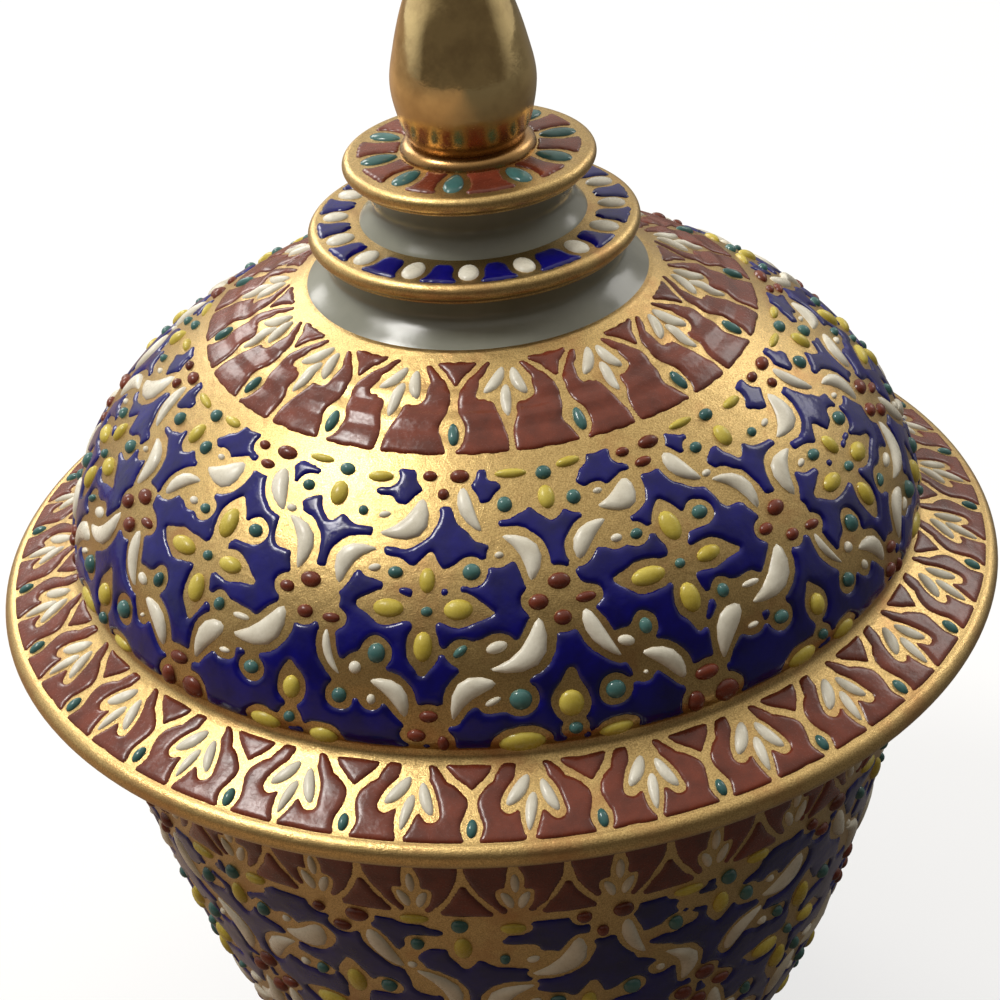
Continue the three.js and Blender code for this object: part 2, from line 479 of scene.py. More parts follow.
def addRipple(line):
    # faint throwing rings, high on the dome
    surface = surfaceOf(line)
    along = surface["along"]
    ripple = lid["ripple"] * np.cos(2 * math.pi * (along - lid["ripplePeak"]) / lid["rippleLength"])
    ripple *= np.exp(-((along - lid["rippleMiddle"]) / lid["rippleSpan"]) ** 4)
    across = surface["across"] + surface["outAcross"] * ripple
    up = surface["up"] + surface["outUp"] * ripple
    return list(zip(across, up))


domeFootZ = mouthZ + lid["domeFootRise"]
domeHeight = domeTopZ - domeFootZ
domeOutline = addRipple(
    domeLine(lid["domeFoot"], lid["topRadius"], domeFootZ + lid["fillet"], domeHeight, 120)
)
domeSurface = surfaceOf(domeOutline)
rollAcross = brimRadius - lid["roll"]
brimTopZ = mouthZ + 2 * lid["roll"]
brimSlope = (domeFootZ - brimTopZ) / (rollAcross - lid["domeFoot"])
brimOutline = straightLine((rollAcross, brimTopZ), (lid["domeFoot"], domeFootZ), 12)
brimSurface = surfaceOf(brimOutline)


def makeLid():
    size = lid
    start = (size["domeFoot"] + size["fillet"], domeFootZ - size["fillet"] * brimSlope)
    shoulder = (size["domeFoot"] + size["filletShoulder"], domeFootZ + size["filletShoulder"])
    fillet = smoothLine([start, shoulder, domeOutline[0]], 8)
    roll = roundLine(rollAcross, mouthZ + size["roll"], size["roll"], -1, 1, 20)
    brim = [p for p in brimOutline[1:] if p[0] > start[0]]
    outer = [*roll, *brim, *fillet, *domeOutline[1:]]
    under = offsetLine(outer, goldSkin)
    ringInner = ringRadius - size["ringWall"]
    inside = domeLine(ringInner, size["topRadius"] - size["topWall"] / 2, domeFootZ,
                      domeHeight - size["topWall"], 40)
    body = turnPiece("lid_porcelain", [
        (0, domeTopZ - size["topWall"]), *inside[::-1], (ringInner, mouthZ),
        (rollAcross, mouthZ), *under[1:], (0, domeTopZ - goldSkin),
    ])
    finishPiece(body, "lid", "white_glaze", "lid_dome")
    top = (size["topRadius"] - size["topLap"], domeTopZ)
    skin = turnPiece("lid_gilding", [*outer, top, *under[::-1], outer[0]])
    finishPiece(skin, "lid", "gilding")

    turn = size["ringRound"]
    ring = turnPiece("locating_ring_porcelain", [
        (ringInner, mouthZ), *roundLine(ringInner + turn, ringFootZ + turn, turn, 2, 3, 5),
        *roundLine(ringRadius - turn, ringFootZ + turn, turn, 3, 4, 5), (ringRadius, mouthZ),
        (ringInner, mouthZ),
    ])
    finishPiece(ring, "lid", "white_glaze", "lid_locating_ring")


lowerTier = {
    "base": lowerBaseRadius,
    "waist": 17.9,
    "edge": 20,
    "neckHeight": 5.35,
    "roll": 1.05,
    "lineInset": 1,
    "lineHeight": 0.5,
}
upperTier = {
    "base": 13.7,
    "waist": 11.9,
    "edge": upperEdgeRadius,
    "neckHeight": 6.1,
    "roll": 0.95,
    "lineInset": 0.9,
    "lineHeight": 0.45,
}


tierLook = {
    "waistShare": 0.42,
    "plug": 0.1,  # how far the neck reaches up into the disc
    "under": 1.5,
    "lineRound": 0.22,
    "lineBack": 0.2,
    "rollBack": 0.35,
    "rollFrom": -0.7,  # in quarter turns
    "turns": 144,
    "crease": 50,
}


def discOutline(size, topZ, seatRadius, lowZ):
    # the disc's top, from the roll in to the seat of what stands on it
    start = (size["edge"] - size["roll"], lowZ + size["neckHeight"] + 2 * size["roll"])
    return straightLine(start, (seatRadius, topZ), 8)


lowerDiscLine = discOutline(lowerTier, upperTierZ, upperTier["base"], lowerTierZ)
upperDiscLine = discOutline(upperTier, collarZ, collarRadius, upperTierZ)
lowerDisc = surfaceOf(lowerDiscLine)
upperDisc = surfaceOf(upperDiscLine)


def makeTier(name, node, size, lowZ, topZ, discLine):
    look = tierLook
    lineRadius = size["edge"] - size["lineInset"]
    neckTopZ = lowZ + size["neckHeight"]
    lineZ = neckTopZ - size["lineHeight"]
    neck = smoothLine([
        (size["base"], lowZ),
        (size["waist"], lowZ + size["neckHeight"] * look["waistShare"]),
        (lineRadius - size["lineHeight"], lineZ),
    ], 24)
    plug = (0, lineZ + look["plug"])
    body = turnPiece(name + "_neck_porcelain", [(0, lowZ), *neck, plug], look["turns"])
    # the neck's finish is the darkened glaze, painted shade under its disc
    finishPiece(body, "lid", "white_glaze", node, finish="neck_glaze_painted_shade")
    rollAt = (size["edge"] - size["roll"], neckTopZ + size["roll"])
    roll = roundLine(*rollAt, size["roll"], look["rollFrom"], 1, 18)
    lineAt = (lineRadius - look["lineBack"], lineZ + look["lineRound"])
    line = roundLine(*lineAt, look["lineRound"], -1, 1, 6)
    disc = turnPiece(name + "_disc_gilding", [
        (0, lineZ), (lineRadius - look["under"], lineZ), *line,
        (lineRadius - look["rollBack"], neckTopZ), *roll, *discLine[1:], (0, topZ),
    ], look["turns"], look["crease"])
    finishPiece(disc, "lid", "gilding")


finial = {
    "baseRadius": 6.6,
    "collarTurns": 96,
    "budTurns": 128,
    "lowShares": [(0.91, 0.08), (1, 0.222), (0.912, 0.362), (0.751, 0.512)],
    "tipShares": [(0.494, 0.672), (0.331, 0.772), (0.186, 0.872), (0.07, 0.965)],
}


def makeFinial():
    size = finial
    turn = budZ - collarZ
    collar = turnPiece("finial_collar_gilding", [
        (0, collarZ), *roundLine(collarRadius - turn, collarZ, turn, 0, 1, 10), (0, budZ),
    ], size["collarTurns"])
    finishPiece(collar, "lid", "bright_gilding", "finial_collar")
    height = budTopZ - budZ
    shares = [*size["lowShares"], *size["tipShares"]]
    side = smoothLine([
        (size["baseRadius"], budZ),
        *[(budRadius * across, budZ + height * up) for across, up in shares],
        (0, budTopZ),
    ], 72)
    bud = turnPiece("finial_bud_gilding", [(0, budZ), *side], size["budTurns"])
    finishPiece(bud, "lid", "bright_gilding", "finial_bud")


makeBowl()
makeFoot()
makeLid()
makeTier("lower_tier", "knob_lower_tier", lowerTier, lowerTierZ, upperTierZ, lowerDiscLine)
makeTier("upper_tier", "knob_upper_tier", upperTier, upperTierZ, collarZ, upperDiscLine)
makeFinial()
print("porcelain and gold grounds turned")


# Marks of the ornament: beads, leaves and lines, each placed by its angle in degrees and by
# its millimetres along the surface

markLook = {
    "beadPower": 0.5,
    "leafPower": 0.56,
    "leafReach": 0.93,  # how much of a leaf its discs fill, and how many they are
    "leafDiscs": 11,
    "leafFullness": 0.7,
    "lineStep": 0.3,
    "beadDiscs": 5,
    "nearlyRound": 0.05,
    "tilt": 3,  # how unevenly the hand lays marks: degrees, millimetres and a share
    "wobble": 0.05,
    "sizeWobble": 0.03,
}


def beadMark(enamel, angle, along, halfAcross, halfUp, turn):
    # an oval bead; inside, half is the longer half and wide the shorter
    upright = halfUp > halfAcross
    return {
        "enamel": enamel,
        "angle": angle,
        "along": along,
        "turn": turn + (90 if upright else 0),
        "half": max(halfAcross, halfUp),
        "wide": min(halfAcross, halfUp),
        "bow": 0.0,
        "power": markLook["beadPower"],
        "lean": 0.0,
    }


def leafMark(surface, angleA, alongA, angleB, alongB, bow, wide, lean=0.0, enamel="white"):
    # a bent leaf between two tips; a positive bow bends it to the left of the way from A to B,
    # and a positive lean makes the end at B the blunt one
    middle = (alongA + alongB) / 2
    reach = math.radians(angleB - angleA) * radiusAt(surface, middle)
    rise = alongB - alongA
    return {
        "enamel": enamel,
        "angle": (angleA + angleB) / 2,
        "along": middle,
        "turn": math.degrees(math.atan2(rise, reach)),
        "half": math.hypot(reach, rise) / 2,
        "wide": wide,
        "bow": bow,
        "power": markLook["leafPower"],
        "lean": lean,
    }


def lineMark(surface, angleA, alongA, angleB, alongB, wideA, wideB, bow=0.0):
    # a line of bare gold that narrows or widens along its way
    mark = leafMark(surface, angleA, alongA, angleB, alongB, bow, wideA, 0.0, "gold")
    mark["endWide"] = wideB
    return mark


def discsOf(mark, border):
    # circles that fill a mark and its gold border, in millimetres from its middle
    look = markLook
    half, wide, bow = mark["half"], mark["wide"], mark["bow"]
    if "endWide" in mark:
        share = np.linspace(-1, 1, 3 + int(half / look["lineStep"]))
        radius = wide + (mark["endWide"] - wide) * (share + 1) / 2
        return half * share, bow * (1 - share**2), radius
    if mark["power"] == look["leafPower"]:
        share = np.linspace(-look["leafReach"], look["leafReach"], look["leafDiscs"])
        wideHere = wide * (1 - share**2) ** look["leafFullness"] * (1 + mark["lean"] * share)
        return half * share, bow * (1 - share**2), wideHere + border
    reach = half - wide**2 / half
    if reach < look["nearlyRound"] * half:
        return np.zeros(1), np.zeros(1), np.array([(half + wide) / 2 + border])
    across = np.linspace(-reach, reach, look["beadDiscs"])
    radius = wide * np.sqrt(1 - across**2 / (half**2 - wide**2))
    return across, np.zeros(len(across)), radius + border


def columnsOf(seen, repeats):
    # middles of the columns: those in front as drawn by hand, the rest even round the back
    gap = (360 - seen[-1] + seen[0]) / (repeats - len(seen) + 1)
    return [*seen, *[seen[-1] + gap * (k + 1) for k in range(repeats - len(seen))]]


asDrawn = {"from": 0.0, "to": 0.0, "scale": 1.0, "wide": 1.0}


def spotIn(tile, gaps, stretch, angle, along):
    # where a spot of a tile comes to lie in its column, between the columns beside it
    before, column, after = gaps
    gap = after - column if angle > 0 else column - before
    up = stretch["to"] + (along - stretch["from"]) * stretch["scale"]
    return column + angle * gap / tile["span"], up


def repeatTiles(surface, tiles, columns, stretch):
    # every mark of the tiles, laid round the surface in turn; stretch moves them elsewhere
    wide = stretch["wide"]
    tall = (wide + stretch["scale"]) / 2
    ring = [columns[-1] - 360, *columns, columns[0] + 360]
    marks = []
    for k in range(len(columns)):
        tile = tiles[k % len(tiles)]
        place = (tile, ring[k:k + 3], stretch)
        for enamel in enamels:
            for angle, along, halfAcross, halfUp, *tilt in tile.get(enamel, []):
                turn = tilt[0] if tilt else hand.gauss(0, markLook["tilt"])
                spot = spotIn(*place, angle, along)
                marks.append(beadMark(enamel, *spot, halfAcross * wide, halfUp * tall, turn))
        for angleA, alongA, angleB, alongB, bow, half, *lean in tile.get("leaves", []):
            tipA = spotIn(*place, angleA, alongA)
            tipB = spotIn(*place, angleB, alongB)
            marks.append(leafMark(surface, *tipA, *tipB, bow * tall, half * wide, *lean))
        for angleA, alongA, angleB, alongB, wideA, wideB, *bow in tile.get("lines", []):
            endA = spotIn(*place, angleA, alongA)
            endB = spotIn(*place, angleB, alongB)
            marks.append(lineMark(surface, *endA, *endB, wideA * wide, wideB * wide, *bow))
    wobble = markLook["wobble"]
    for mark in marks:
        if mark["enamel"] == "gold":
            continue
        size = math.exp(hand.gauss(0, markLook["sizeWobble"]))
        mark["angle"] += math.degrees(hand.gauss(0, wobble) / radiusAt(surface, mark["along"]))
        mark["along"] += hand.gauss(0, wobble)
        mark["half"] *= size
        mark["wide"] *= size
    return marks


# Beads of enamel: one dome, modelled once and copied to every mark

beadLook = {
    "segments": 14,
    "rings": 8,
    "crease": 60,
    "sink": 0.12,
    "flatness": 0.85,
    "leastRise": 0.35,  # a share of the rise; narrow beads are lower
    "risePerWidth": 0.65,
    "blunt": 0.0004,
    "weldGap": 0.0001,  # on a bead of radius 1
}


def modelBead():
    clearSelection()
    bpy.ops.mesh.primitive_uv_sphere_add(
        segments=beadLook["segments"], ring_count=beadLook["rings"], radius=1
    )
    bead = bpy.context.object
    editWhole()
    bpy.ops.mesh.bisect(plane_co=(0, 0, 0), plane_no=(0, 0, 1), clear_inner=True, use_fill=True)
    closeWhole(beadLook["weldGap"])
    corners = np.array([v.co for v in bead.data.vertices])
    faces = [tuple(face.vertices) for face in bead.data.polygons]
    bpy.data.objects.remove(bead)
    return corners, faces


beadCorners, beadFaces = modelBead()


def meshPiece(name, corners, faces):
    mesh = bpy.data.meshes.new(name)
    mesh.from_pydata(corners.tolist(), [], faces)
    mesh.update()
    piece = bpy.data.objects.new(name, mesh)
    bpy.context.scene.collection.objects.link(piece)
    clearSelection()
    piece.select_set(True)
    bpy.context.view_layer.objects.active = piece
    return piece


def beadAt(mark, surface, rise):
    look = beadLook
    x, y, z = beadCorners.T
    taper = np.clip(1 - x**2, look["blunt"], 1) ** (mark["power"] - markLook["beadPower"])
    taper *= 1 + mark["lean"] * x
    alongMark = x * mark["half"]
    acrossMark = y * mark["wide"] * taper + mark["bow"] * (1 - x**2)
    turn = math.radians(mark["turn"])
    right = alongMark * math.cos(turn) - acrossMark * math.sin(turn)
    forward = alongMark * math.sin(turn) + acrossMark * math.cos(turn)
    angle = math.radians(mark["angle"]) + right / radiusAt(surface, mark["along"])
    height = rise * min(1.0, look["leastRise"] + mark["wide"] * look["risePerWidth"])
    lift = z ** look["flatness"] * (height + look["sink"]) - look["sink"]
    return onSurface(surface, angle, mark["along"] + forward, lift)


def layBeads(name, body, surface, marks, enamel, rise):
    chosen = [mark for mark in marks if mark["enamel"] == enamel]
    corners = np.concatenate([beadAt(mark, surface, rise) for mark in chosen])
    count = len(beadCorners)
    faces = [tuple(k + n * count for k in face) for n in range(len(chosen)) for face in beadFaces]
    piece = meshPiece(name, corners, faces)
    bpy.ops.object.shade_smooth_by_angle(angle=math.radians(beadLook["crease"]))
    finishPiece(piece, body, enamel + "_enamel")


# Fields of enamel between the gold lines; a band of ornament may have its own values for these

fieldLook = {
    "spacing": 0.3,  # of the grid that the edge is cut on
    "margin": 0.2,
    "reach": 3.5,  # past a mark, beyond which it is left out of the sum
    "rise": 0.26,
    "edge": 0.7,  # how far in from the gold the sheet is full height
    "sink": 0.06,
    "swell": 0.05,
    "swellAt": 3,
    "soften": 0.14,  # how softly the gold lines run together
    "waver": 0.05,
    "wavers": 14,
    "waverTurns": (20, 110),
    "waverTilt": 2.2,
    "least": 0.3,  # half the width that holds a drop of enamel
    "closed": -9,  # deep in the gold
    "slack": 0.12,
    "nearSteps": 3,
    "weldGap": 0.05,
}


def distanceToGold(surface, angles, alongs, marks, look):
    # how far each grid point lies outside the gold
    soften = look["soften"]
    columns = len(angles)
    nearness = np.zeros((len(alongs), columns))
    nearness += np.exp(-(alongs - look["low"]) / soften)[:, None]
    nearness += np.exp(-(look["high"] - alongs) / soften)[:, None]
    step = angles[1] - angles[0]
    for mark in marks:
        across, bend, radius = discsOf(mark, look["border"])
        turn = math.radians(mark["turn"])
        right = across * math.cos(turn) - bend * math.sin(turn)
        forward = across * math.sin(turn) + bend * math.cos(turn)
        ring = radiusAt(surface, mark["along"])
        reach = np.abs(np.hypot(right, forward)).max() + radius.max() + look["reach"]
        centre = math.radians(mark["angle"])
        firstColumn = int(math.floor((centre - reach / ring) / step))
        lastColumn = int(math.ceil((centre + reach / ring) / step))
        spanned = np.arange(firstColumn, min(lastColumn, firstColumn + columns - 1) + 1)
        rows = np.flatnonzero(np.abs(alongs - mark["along"]) < reach)
        if len(rows) == 0:
            continue
        x = (spanned * step - centre)[None, :, None] * ring - right
        y = (alongs[rows] - mark["along"])[:, None, None] - forward
        distance = (np.hypot(x, y) - radius).min(axis=2)
        nearness[np.ix_(rows, spanned % columns)] += np.exp(-distance / soften)
    return -soften * np.log(nearness + 1e-30)


def handWaver(angles, alongs, look, seed):
    # a slow waver of the lines' edges, in millimetres
    draw = random.Random(seed)
    waver = np.zeros((len(alongs), len(angles)))
    for _ in range(look["wavers"]):
        turns = draw.randint(*look["waverTurns"])
        tilt = draw.uniform(-look["waverTilt"], look["waverTilt"])
        shift = draw.uniform(0, 2 * math.pi)
        waver += np.sin(turns * angles[None, :] + tilt * alongs[:, None] + shift)
    return waver * look["waver"] / math.sqrt(look["wavers"] / 2)


def withoutSlivers(away, acrossStep, upStep, look):
    # where a field is too thin to hold a drop of enamel, the gold closes over it
    core = np.where(away > look["least"], away, look["closed"])
    opened = core.copy()
    near = range(-look["nearSteps"], look["nearSteps"] + 1)
    for up in near:
        for across in near:
            gap = np.hypot(across * acrossStep, up * upStep)
            opened = np.maximum(opened, np.roll(core, (up, across), axis=(0, 1)) - gap[:, None])
    return np.minimum(away, opened + look["slack"])


def layField(name, body, surface, marks, band):
    # a sheet of enamel with a rounded edge, cut out exactly along the gold
    look = {**fieldLook, **band}
    low, high, margin = look["low"], look["high"], look["margin"]
    columns = int(2 * math.pi * surface["across"].max() / look["spacing"])
    angles = np.arange(columns) * 2 * math.pi / columns
    rows = int((high - low + 2 * margin) / look["spacing"]) + 2
    alongs = np.linspace(low - margin, high + margin, rows)
    away = distanceToGold(surface, angles, alongs, marks, look)
    away += handWaver(angles, alongs, look, len(name))
    step = angles[1]
    rowStep = alongs[1] - alongs[0]
    away = withoutSlivers(away, step * radiusAt(surface, alongs), rowStep, look)
    inside = away > 0
    beside = np.roll(away, -1, axis=1)
    above = np.roll(away, -1, axis=0)
    sideCut = inside != (beside > 0)
    upCut = inside != (above > 0)
    upCut[-1] = False

    count = 0
    numbers = []
    for taken in (inside, sideCut, upCut):
        number = np.full(inside.shape, -1)
        number[taken] = count + np.arange(taken.sum())
        count += int(taken.sum())
        numbers.append(number)
    grid, side, upward = numbers

    row, column = np.nonzero(inside)
    places = [np.stack([column * step, alongs[row], away[row, column]], axis=1)]
    for taken, beyond, across, up in ((sideCut, beside, 1, 0), (upCut, above, 0, 1)):
        row, column = np.nonzero(taken)
        share = away[row, column] / (away[row, column] - beyond[row, column])
        angle = (column + share * across) * step
        places.append(np.stack([angle, alongs[row] + share * up * rowStep, share * 0], axis=1))
    places = np.concatenate(places)

    # each cell is walked round its four corners, and keeps the part inside
    def shifted(values, down, across):
        return np.roll(values, (-down, -across), axis=(0, 1))[:-1]

    cornerSteps = [(0, 0), (0, 1), (1, 1), (1, 0)]
    corners = [shifted(grid, *at) for at in cornerSteps]
    edges = [shifted(side, 0, 0), shifted(upward, 0, 1), shifted(side, 1, 0), shifted(upward, 0, 0)]
    kinds = sum((corner >= 0) * 2**k for k, corner in enumerate(corners))
    faces = []
    for kind in range(1, 16):
        chosen = kinds == kind
        walk = []
        for k in range(4):
            here = bool(kind & 2**k)
            after = bool(kind & 2 ** ((k + 1) % 4))
            if here:
                walk.append(corners[k][chosen])
            if here != after:
                walk.append(edges[k][chosen])
        faces += np.stack(walk, axis=1).tolist()

    inward = places[:, 2]
    bulge = np.sqrt(1 - (1 - np.clip(inward / look["edge"], 0, 1)) ** 2)
    lift = -look["sink"] + (look["rise"] + look["sink"]) * bulge
    lift += look["swell"] * np.clip(inward / look["swellAt"], 0, 1)
    piece = meshPiece(name, onSurface(surface, places[:, 0], places[:, 1], lift), faces)
    editWhole()
    bpy.ops.mesh.remove_doubles(threshold=look["weldGap"] * mm)
    bpy.ops.mesh.delete_loose()
    bpy.ops.object.mode_set(mode="OBJECT")
    bpy.ops.object.shade_smooth()
    finishPiece(piece, body, look["ground"] + "_enamel")
    print(name, len(piece.data.polygons), "faces")


def dressBand(name, surface, tiles, band):
    # the ground of enamel first, then the beads on the gold
    marks = repeatTiles(surface, tiles, band["columns"], band.get("stretch", asDrawn))
    layField(name + "_" + band["ground"] + "_field", band["body"], surface, marks, band)
    for enamel, (kind, rise) in band["beads"].items():
        layBeads(name + "_" + enamel + "_" + kind, band["body"], surface, marks, enamel, rise)


# The net of flowers: two tiles by turns, each with a flower at 0 and a rosette at 17.5 degrees

netTileA = {
    "span": 34.5,
    "maroon": [
        (-1.0, 31.6, 0.86, 0.65), (4.1, 31.6, 1.15, 0.85), (1.4, 29.4, 0.68, 0.7),
        (17.7, 18.7, 1.3, 0.95), (14.4, 16.7, 1.14, 0.9), (17.4, 14.75, 1.07, 0.9),
        (-12.95, 14.6, 1.1, 0.6), (0.3, 4.8, 1.08, 0.7), (-1.3, 2.5, 1.08, 0.75),
        (1.8, 1.3, 0.7, 1.15),
    ],
    "yellow": [
        (12.9, 31.6, 1.8, 0.55), (-10.1, 31.1, 1.5, 0.65), (18.2, 28.2, 0.98, 1.5),
        (-0.2, 19.6, 0.9, 1.45), (-5.2, 16.5, 1.75, 1.05), (4.0, 16.4, 1.68, 1.2),
        (-0.4, 12.4, 1.05, 1.65), (17.05, 5.3, 1.4, 1.5), (-13.2, 0.9, 1.7, 1.2),
        (11.0, 1.05, 2.7, 1.5),
    ],
    "turquoise": [
        (18.75, 31.2, 0.93, 0.85), (11.45, 27.85, 0.88, 0.95), (-11.6, 27.0, 0.58, 0.6),
        (-4.7, 20.35, 0.9, 0.72), (6.0, 20.5, 1.02, 0.95), (0, 16.25, 0.7, 0.6),
        (-6.25, 11.5, 1.0, 1.15), (4.35, 11.8, 0.95, 0.5, 40), (-10.9, 6.35, 0.88, 0.9),
        (11.1, 6.35, 1.22, 1.15), (17.3, 2.3, 0.85, 0.75),
    ],
    "white": [
        (-7.8, 26.8, 0.72, 0.42, 15), (-7.9, 20.7, 0.7, 0.42, 15), (9.9, 22.15, 0.52, 0.4),
        (-8.9, 9.6, 0.69, 0.7), (8.8, 12.1, 1.24, 0.68, 15), (-6.9, 6.25, 0.52, 0.62),
        (7.9, 6.3, 1.02, 0.42, 25),
    ],
    "leaves": [
        (-1.4, 29.0, -8.2, 24.6, 1.7, 1.4, -0.3), (4.5, 30.4, 7.6, 24.9, -0.5, 0.85, -0.3),
        (10.3, 24.3, 14.0, 18.9, 1.6, 1.15, 0.2), (-7.9, 22.9, -13.0, 18.4, -1.8, 1.2, 0.25),
        (-13.45, 13.5, -11.0, 8.6, -0.55, 0.5, -0.3), (-7.0, 8.5, -2.4, 4.5, 1.2, 1.05, 0.1),
        (14.4, 15.0, 7.8, 10.0, 2.0, 1.25, -0.35), (8.5, 8.5, 3.1, 4.2, -1.5, 1.2, -0.3),
    ],
    "lines": [
        (-6, 16.6, -9.2, 16.7, 1.7, 0.4), (4.8, 16.4, 8.5, 15.9, 1.6, 0.3),
        (-0.1, 20.3, 0.2, 22.3, 1.6, 0.4), (-0.4, 11.5, -0.5, 9.9, 1.5, 0.6),
        (17.1, 6.2, 17.4, 8.6, 1.7, 0.5), (18.2, 27.4, 18.2, 26.1, 1.6, 0.5),
        (-8.9, 9.5, -7.2, 6.4, 1.2, 1.0), (-8.9, 9.3, -10.9, 6.6, 1.1, 1.3),
        (-11, 8.7, -8.9, 9.5, 0.9, 1.1), (-6.25, 11.5, -8.9, 9.6, 1.3, 1.1),
        (4.35, 11.6, 8.6, 11.6, 1.3, 1.5), (8.8, 12.1, 10.5, 11, 1.3, 1.2),
        (8, 10, 8.3, 8.2, 1.3, 1.2), (7.9, 6.3, 11.1, 6.5, 1.1, 1.4),
        (9.9, 22.15, 11.5, 22.5, 1.3, 1.0), (-8.5, 21.2, -4.7, 20.4, 1.3, 1.4),
        (-4.7, 20.3, -1, 19.7, 1.2, 1.2), (-12, 27.3, -6, 26.5, 1.9, 1.6),
        (-15.5, 28.3, -8, 28, 1.2, 1.0), (-1, 31.3, 4, 31.3, 0.9, 0.9),
        (1.4, 29.4, 1.4, 31.5, 1.2, 1.4), (11.45, 27.8, 13.8, 27.7, 1.4, 0.8),
        (7.6, 25, 10.3, 24.2, 1.2, 1.2), (-4, 16.4, 4, 16.4, 1.3, 1.3),
        (-0.3, 13.5, -0.2, 18.5, 1.2, 1.2), (0, 19.4, 6.0, 20.4, 0.9, 1.2),
        (8.0, 27.2, 10.5, 27.6, 1.0, 1.0), (12.6, 30.0, 16.5, 29.3, 0.9, 1.1),
        (-14.5, 30.2, -12.0, 30.2, 0.9, 0.9), (-14.5, 32.0, -12.0, 31.8, 0.8, 0.8),
        (-15.0, 17.0, -13.2, 16.6, 1.3, 0.9),
    ],
}
netTileB = {
    "span": 34.5,
    "maroon": [
        (-1.2, 31.45, 0.83, 0.6), (4.2, 31.6, 1.43, 0.85), (1.6, 29.6, 1.08, 0.6),
        (17.5, 18.4, 1.28, 0.95), (14.2, 17.0, 0.95, 0.72), (17.7, 14.8, 0.98, 0.8),
        (-13.6, 16.5, 1.2, 0.6), (-0.6, 4.9, 1.5, 0.85), (-2.4, 1.9, 1.05, 1.4),
        (1.8, 1.9, 1.6, 1.5),
    ],
    "yellow": [
        (-11.2, 31.95, 1.45, 0.6), (12.0, 32.1, 1.65, 0.5), (17.7, 28.5, 1.0, 1.45),
        (0.8, 21.6, 1.17, 1.8), (-4.9, 17.1, 2.1, 1.08), (4.2, 17.35, 1.6, 0.95),
        (-0.25, 13.5, 1.12, 1.7), (17.1, 6.3, 1.07, 1.4), (-12.4, 1.2, 1.9, 0.8),
        (13.3, 1.3, 2.1, 1.1),
    ],
    "turquoise": [
        (-12.05, 27.7, 0.85, 0.9), (11.7, 28.7, 0.8, 0.7), (17.7, 31.5, 0.93, 0.75),
        (-4.5, 21.9, 0.76, 0.65), (6.0, 21.9, 0.96, 0.8), (-0.1, 17.3, 0.65, 0.6),
        (-6.95, 12.0, 0.73, 0.95), (4.4, 12.9, 0.73, 0.85), (-12.1, 6.0, 1.17, 1.1),
        (11.2, 7.3, 0.98, 0.8), (16.9, 2.6, 0.75, 0.7),
    ],
    "white": [
        (-8.0, 27.8, 0.57, 0.38), (10.4, 25.65, 0.6, 0.42), (-7.5, 22.0, 0.68, 0.48),
        (-9.85, 11.0, 0.97, 0.6, -20), (8.4, 12.5, 1.18, 0.4), (-8.2, 7.1, 0.3, 0.25),
        (6.9, 8.1, 0.79, 0.35),
    ],
    "leaves": [
        (-2.0, 28.2, -8.9, 26.0, 1.1, 1.45, -0.45), (5.3, 29.8, 9.2, 25.1, -0.4, 1.05, -0.4),
        (10.7, 24.8, 15.1, 19.3, 1.6, 1.0, 0.15), (-8.3, 24.4, -13.7, 20.6, -0.9, 1.0, 0.3),
        (-14.5, 15.3, -10.8, 9.3, -0.5, 0.92, -0.4), (-8.2, 9.3, -3.4, 5.1, 0.95, 1.05, 0.1),
        (14.9, 14.8, 7.7, 10.3, 1.5, 1.4, -0.35), (5.8, 11.1, 2.1, 5.8, -0.8, 1.25, -0.5),
    ],
    "lines": [
        (-6, 17.1, -9.3, 17.6, 1.6, 0.3), (5, 17.3, 8.6, 16.5, 1.5, 0.3),
        (0.8, 22.4, 0.9, 24.4, 1.8, 0.5), (-0.2, 12.6, -0.1, 10.2, 1.6, 0.4),
        (16.9, 7, 16.7, 8.9, 1.4, 0.4), (17.7, 27.6, 17.7, 26, 1.6, 0.6),
        (-9.5, 22.8, -4.5, 21.9, 1.4, 1.1), (10.6, 24.9, 11.3, 22.4, 1.2, 1.2),
        (11.3, 22.4, 12.5, 22.0, 1.2, 1.0), (-9.9, 10.8, -8.4, 7.3, 1.1, 1.1),
        (-9.85, 11, -6.95, 12, 1.0, 1.1), (4.4, 12.7, 8.6, 12.2, 1.2, 1.2),
        (8.1, 10.3, 6.9, 8.4, 1.1, 1.0), (-8.2, 26.8, -12, 27.3, 1.5, 1.3),
        (-16, 29.5, -12, 31, 1.2, 1.4), (1.6, 29.6, 1.6, 31.6, 1.2, 1.4),
        (9.1, 26, 11.7, 28.5, 1.1, 1.0), (-4, 17.2, 4, 17.3, 1.3, 1.3),
        (-0.2, 14.8, 0.5, 20, 1.2, 1.2), (0.8, 21.2, 6.0, 21.6, 0.9, 1.2),
        (11.7, 28.9, 16, 29.2, 1.1, 1.2), (14.0, 31.6, 16.2, 31.2, 0.8, 0.9),
        (-15.0, 17.2, -13.2, 16.8, 1.3, 0.9),
    ],
}
netBeads = {
    # what each enamel makes there, and how high it stands
    "yellow": ("petals", 0.75),
    "turquoise": ("dots", 0.8),
    "maroon": ("dots", 0.75),
    "white": ("scrolls", 0.62),
}
domeBand = {
    "body": "lid",
    "ground": "cobalt",
    "beads": netBeads,
    "columns": columnsOf([-43.5, -10, 24.5, 59.5], 10),
    "low": 0.4,  # where the field starts and ends along the surface
    "high": 32.4,
    "border": 0.69,  # how wide the bare gold is round a bead or leaf
}


# The maroon ring of lotus buds and drops below the knob

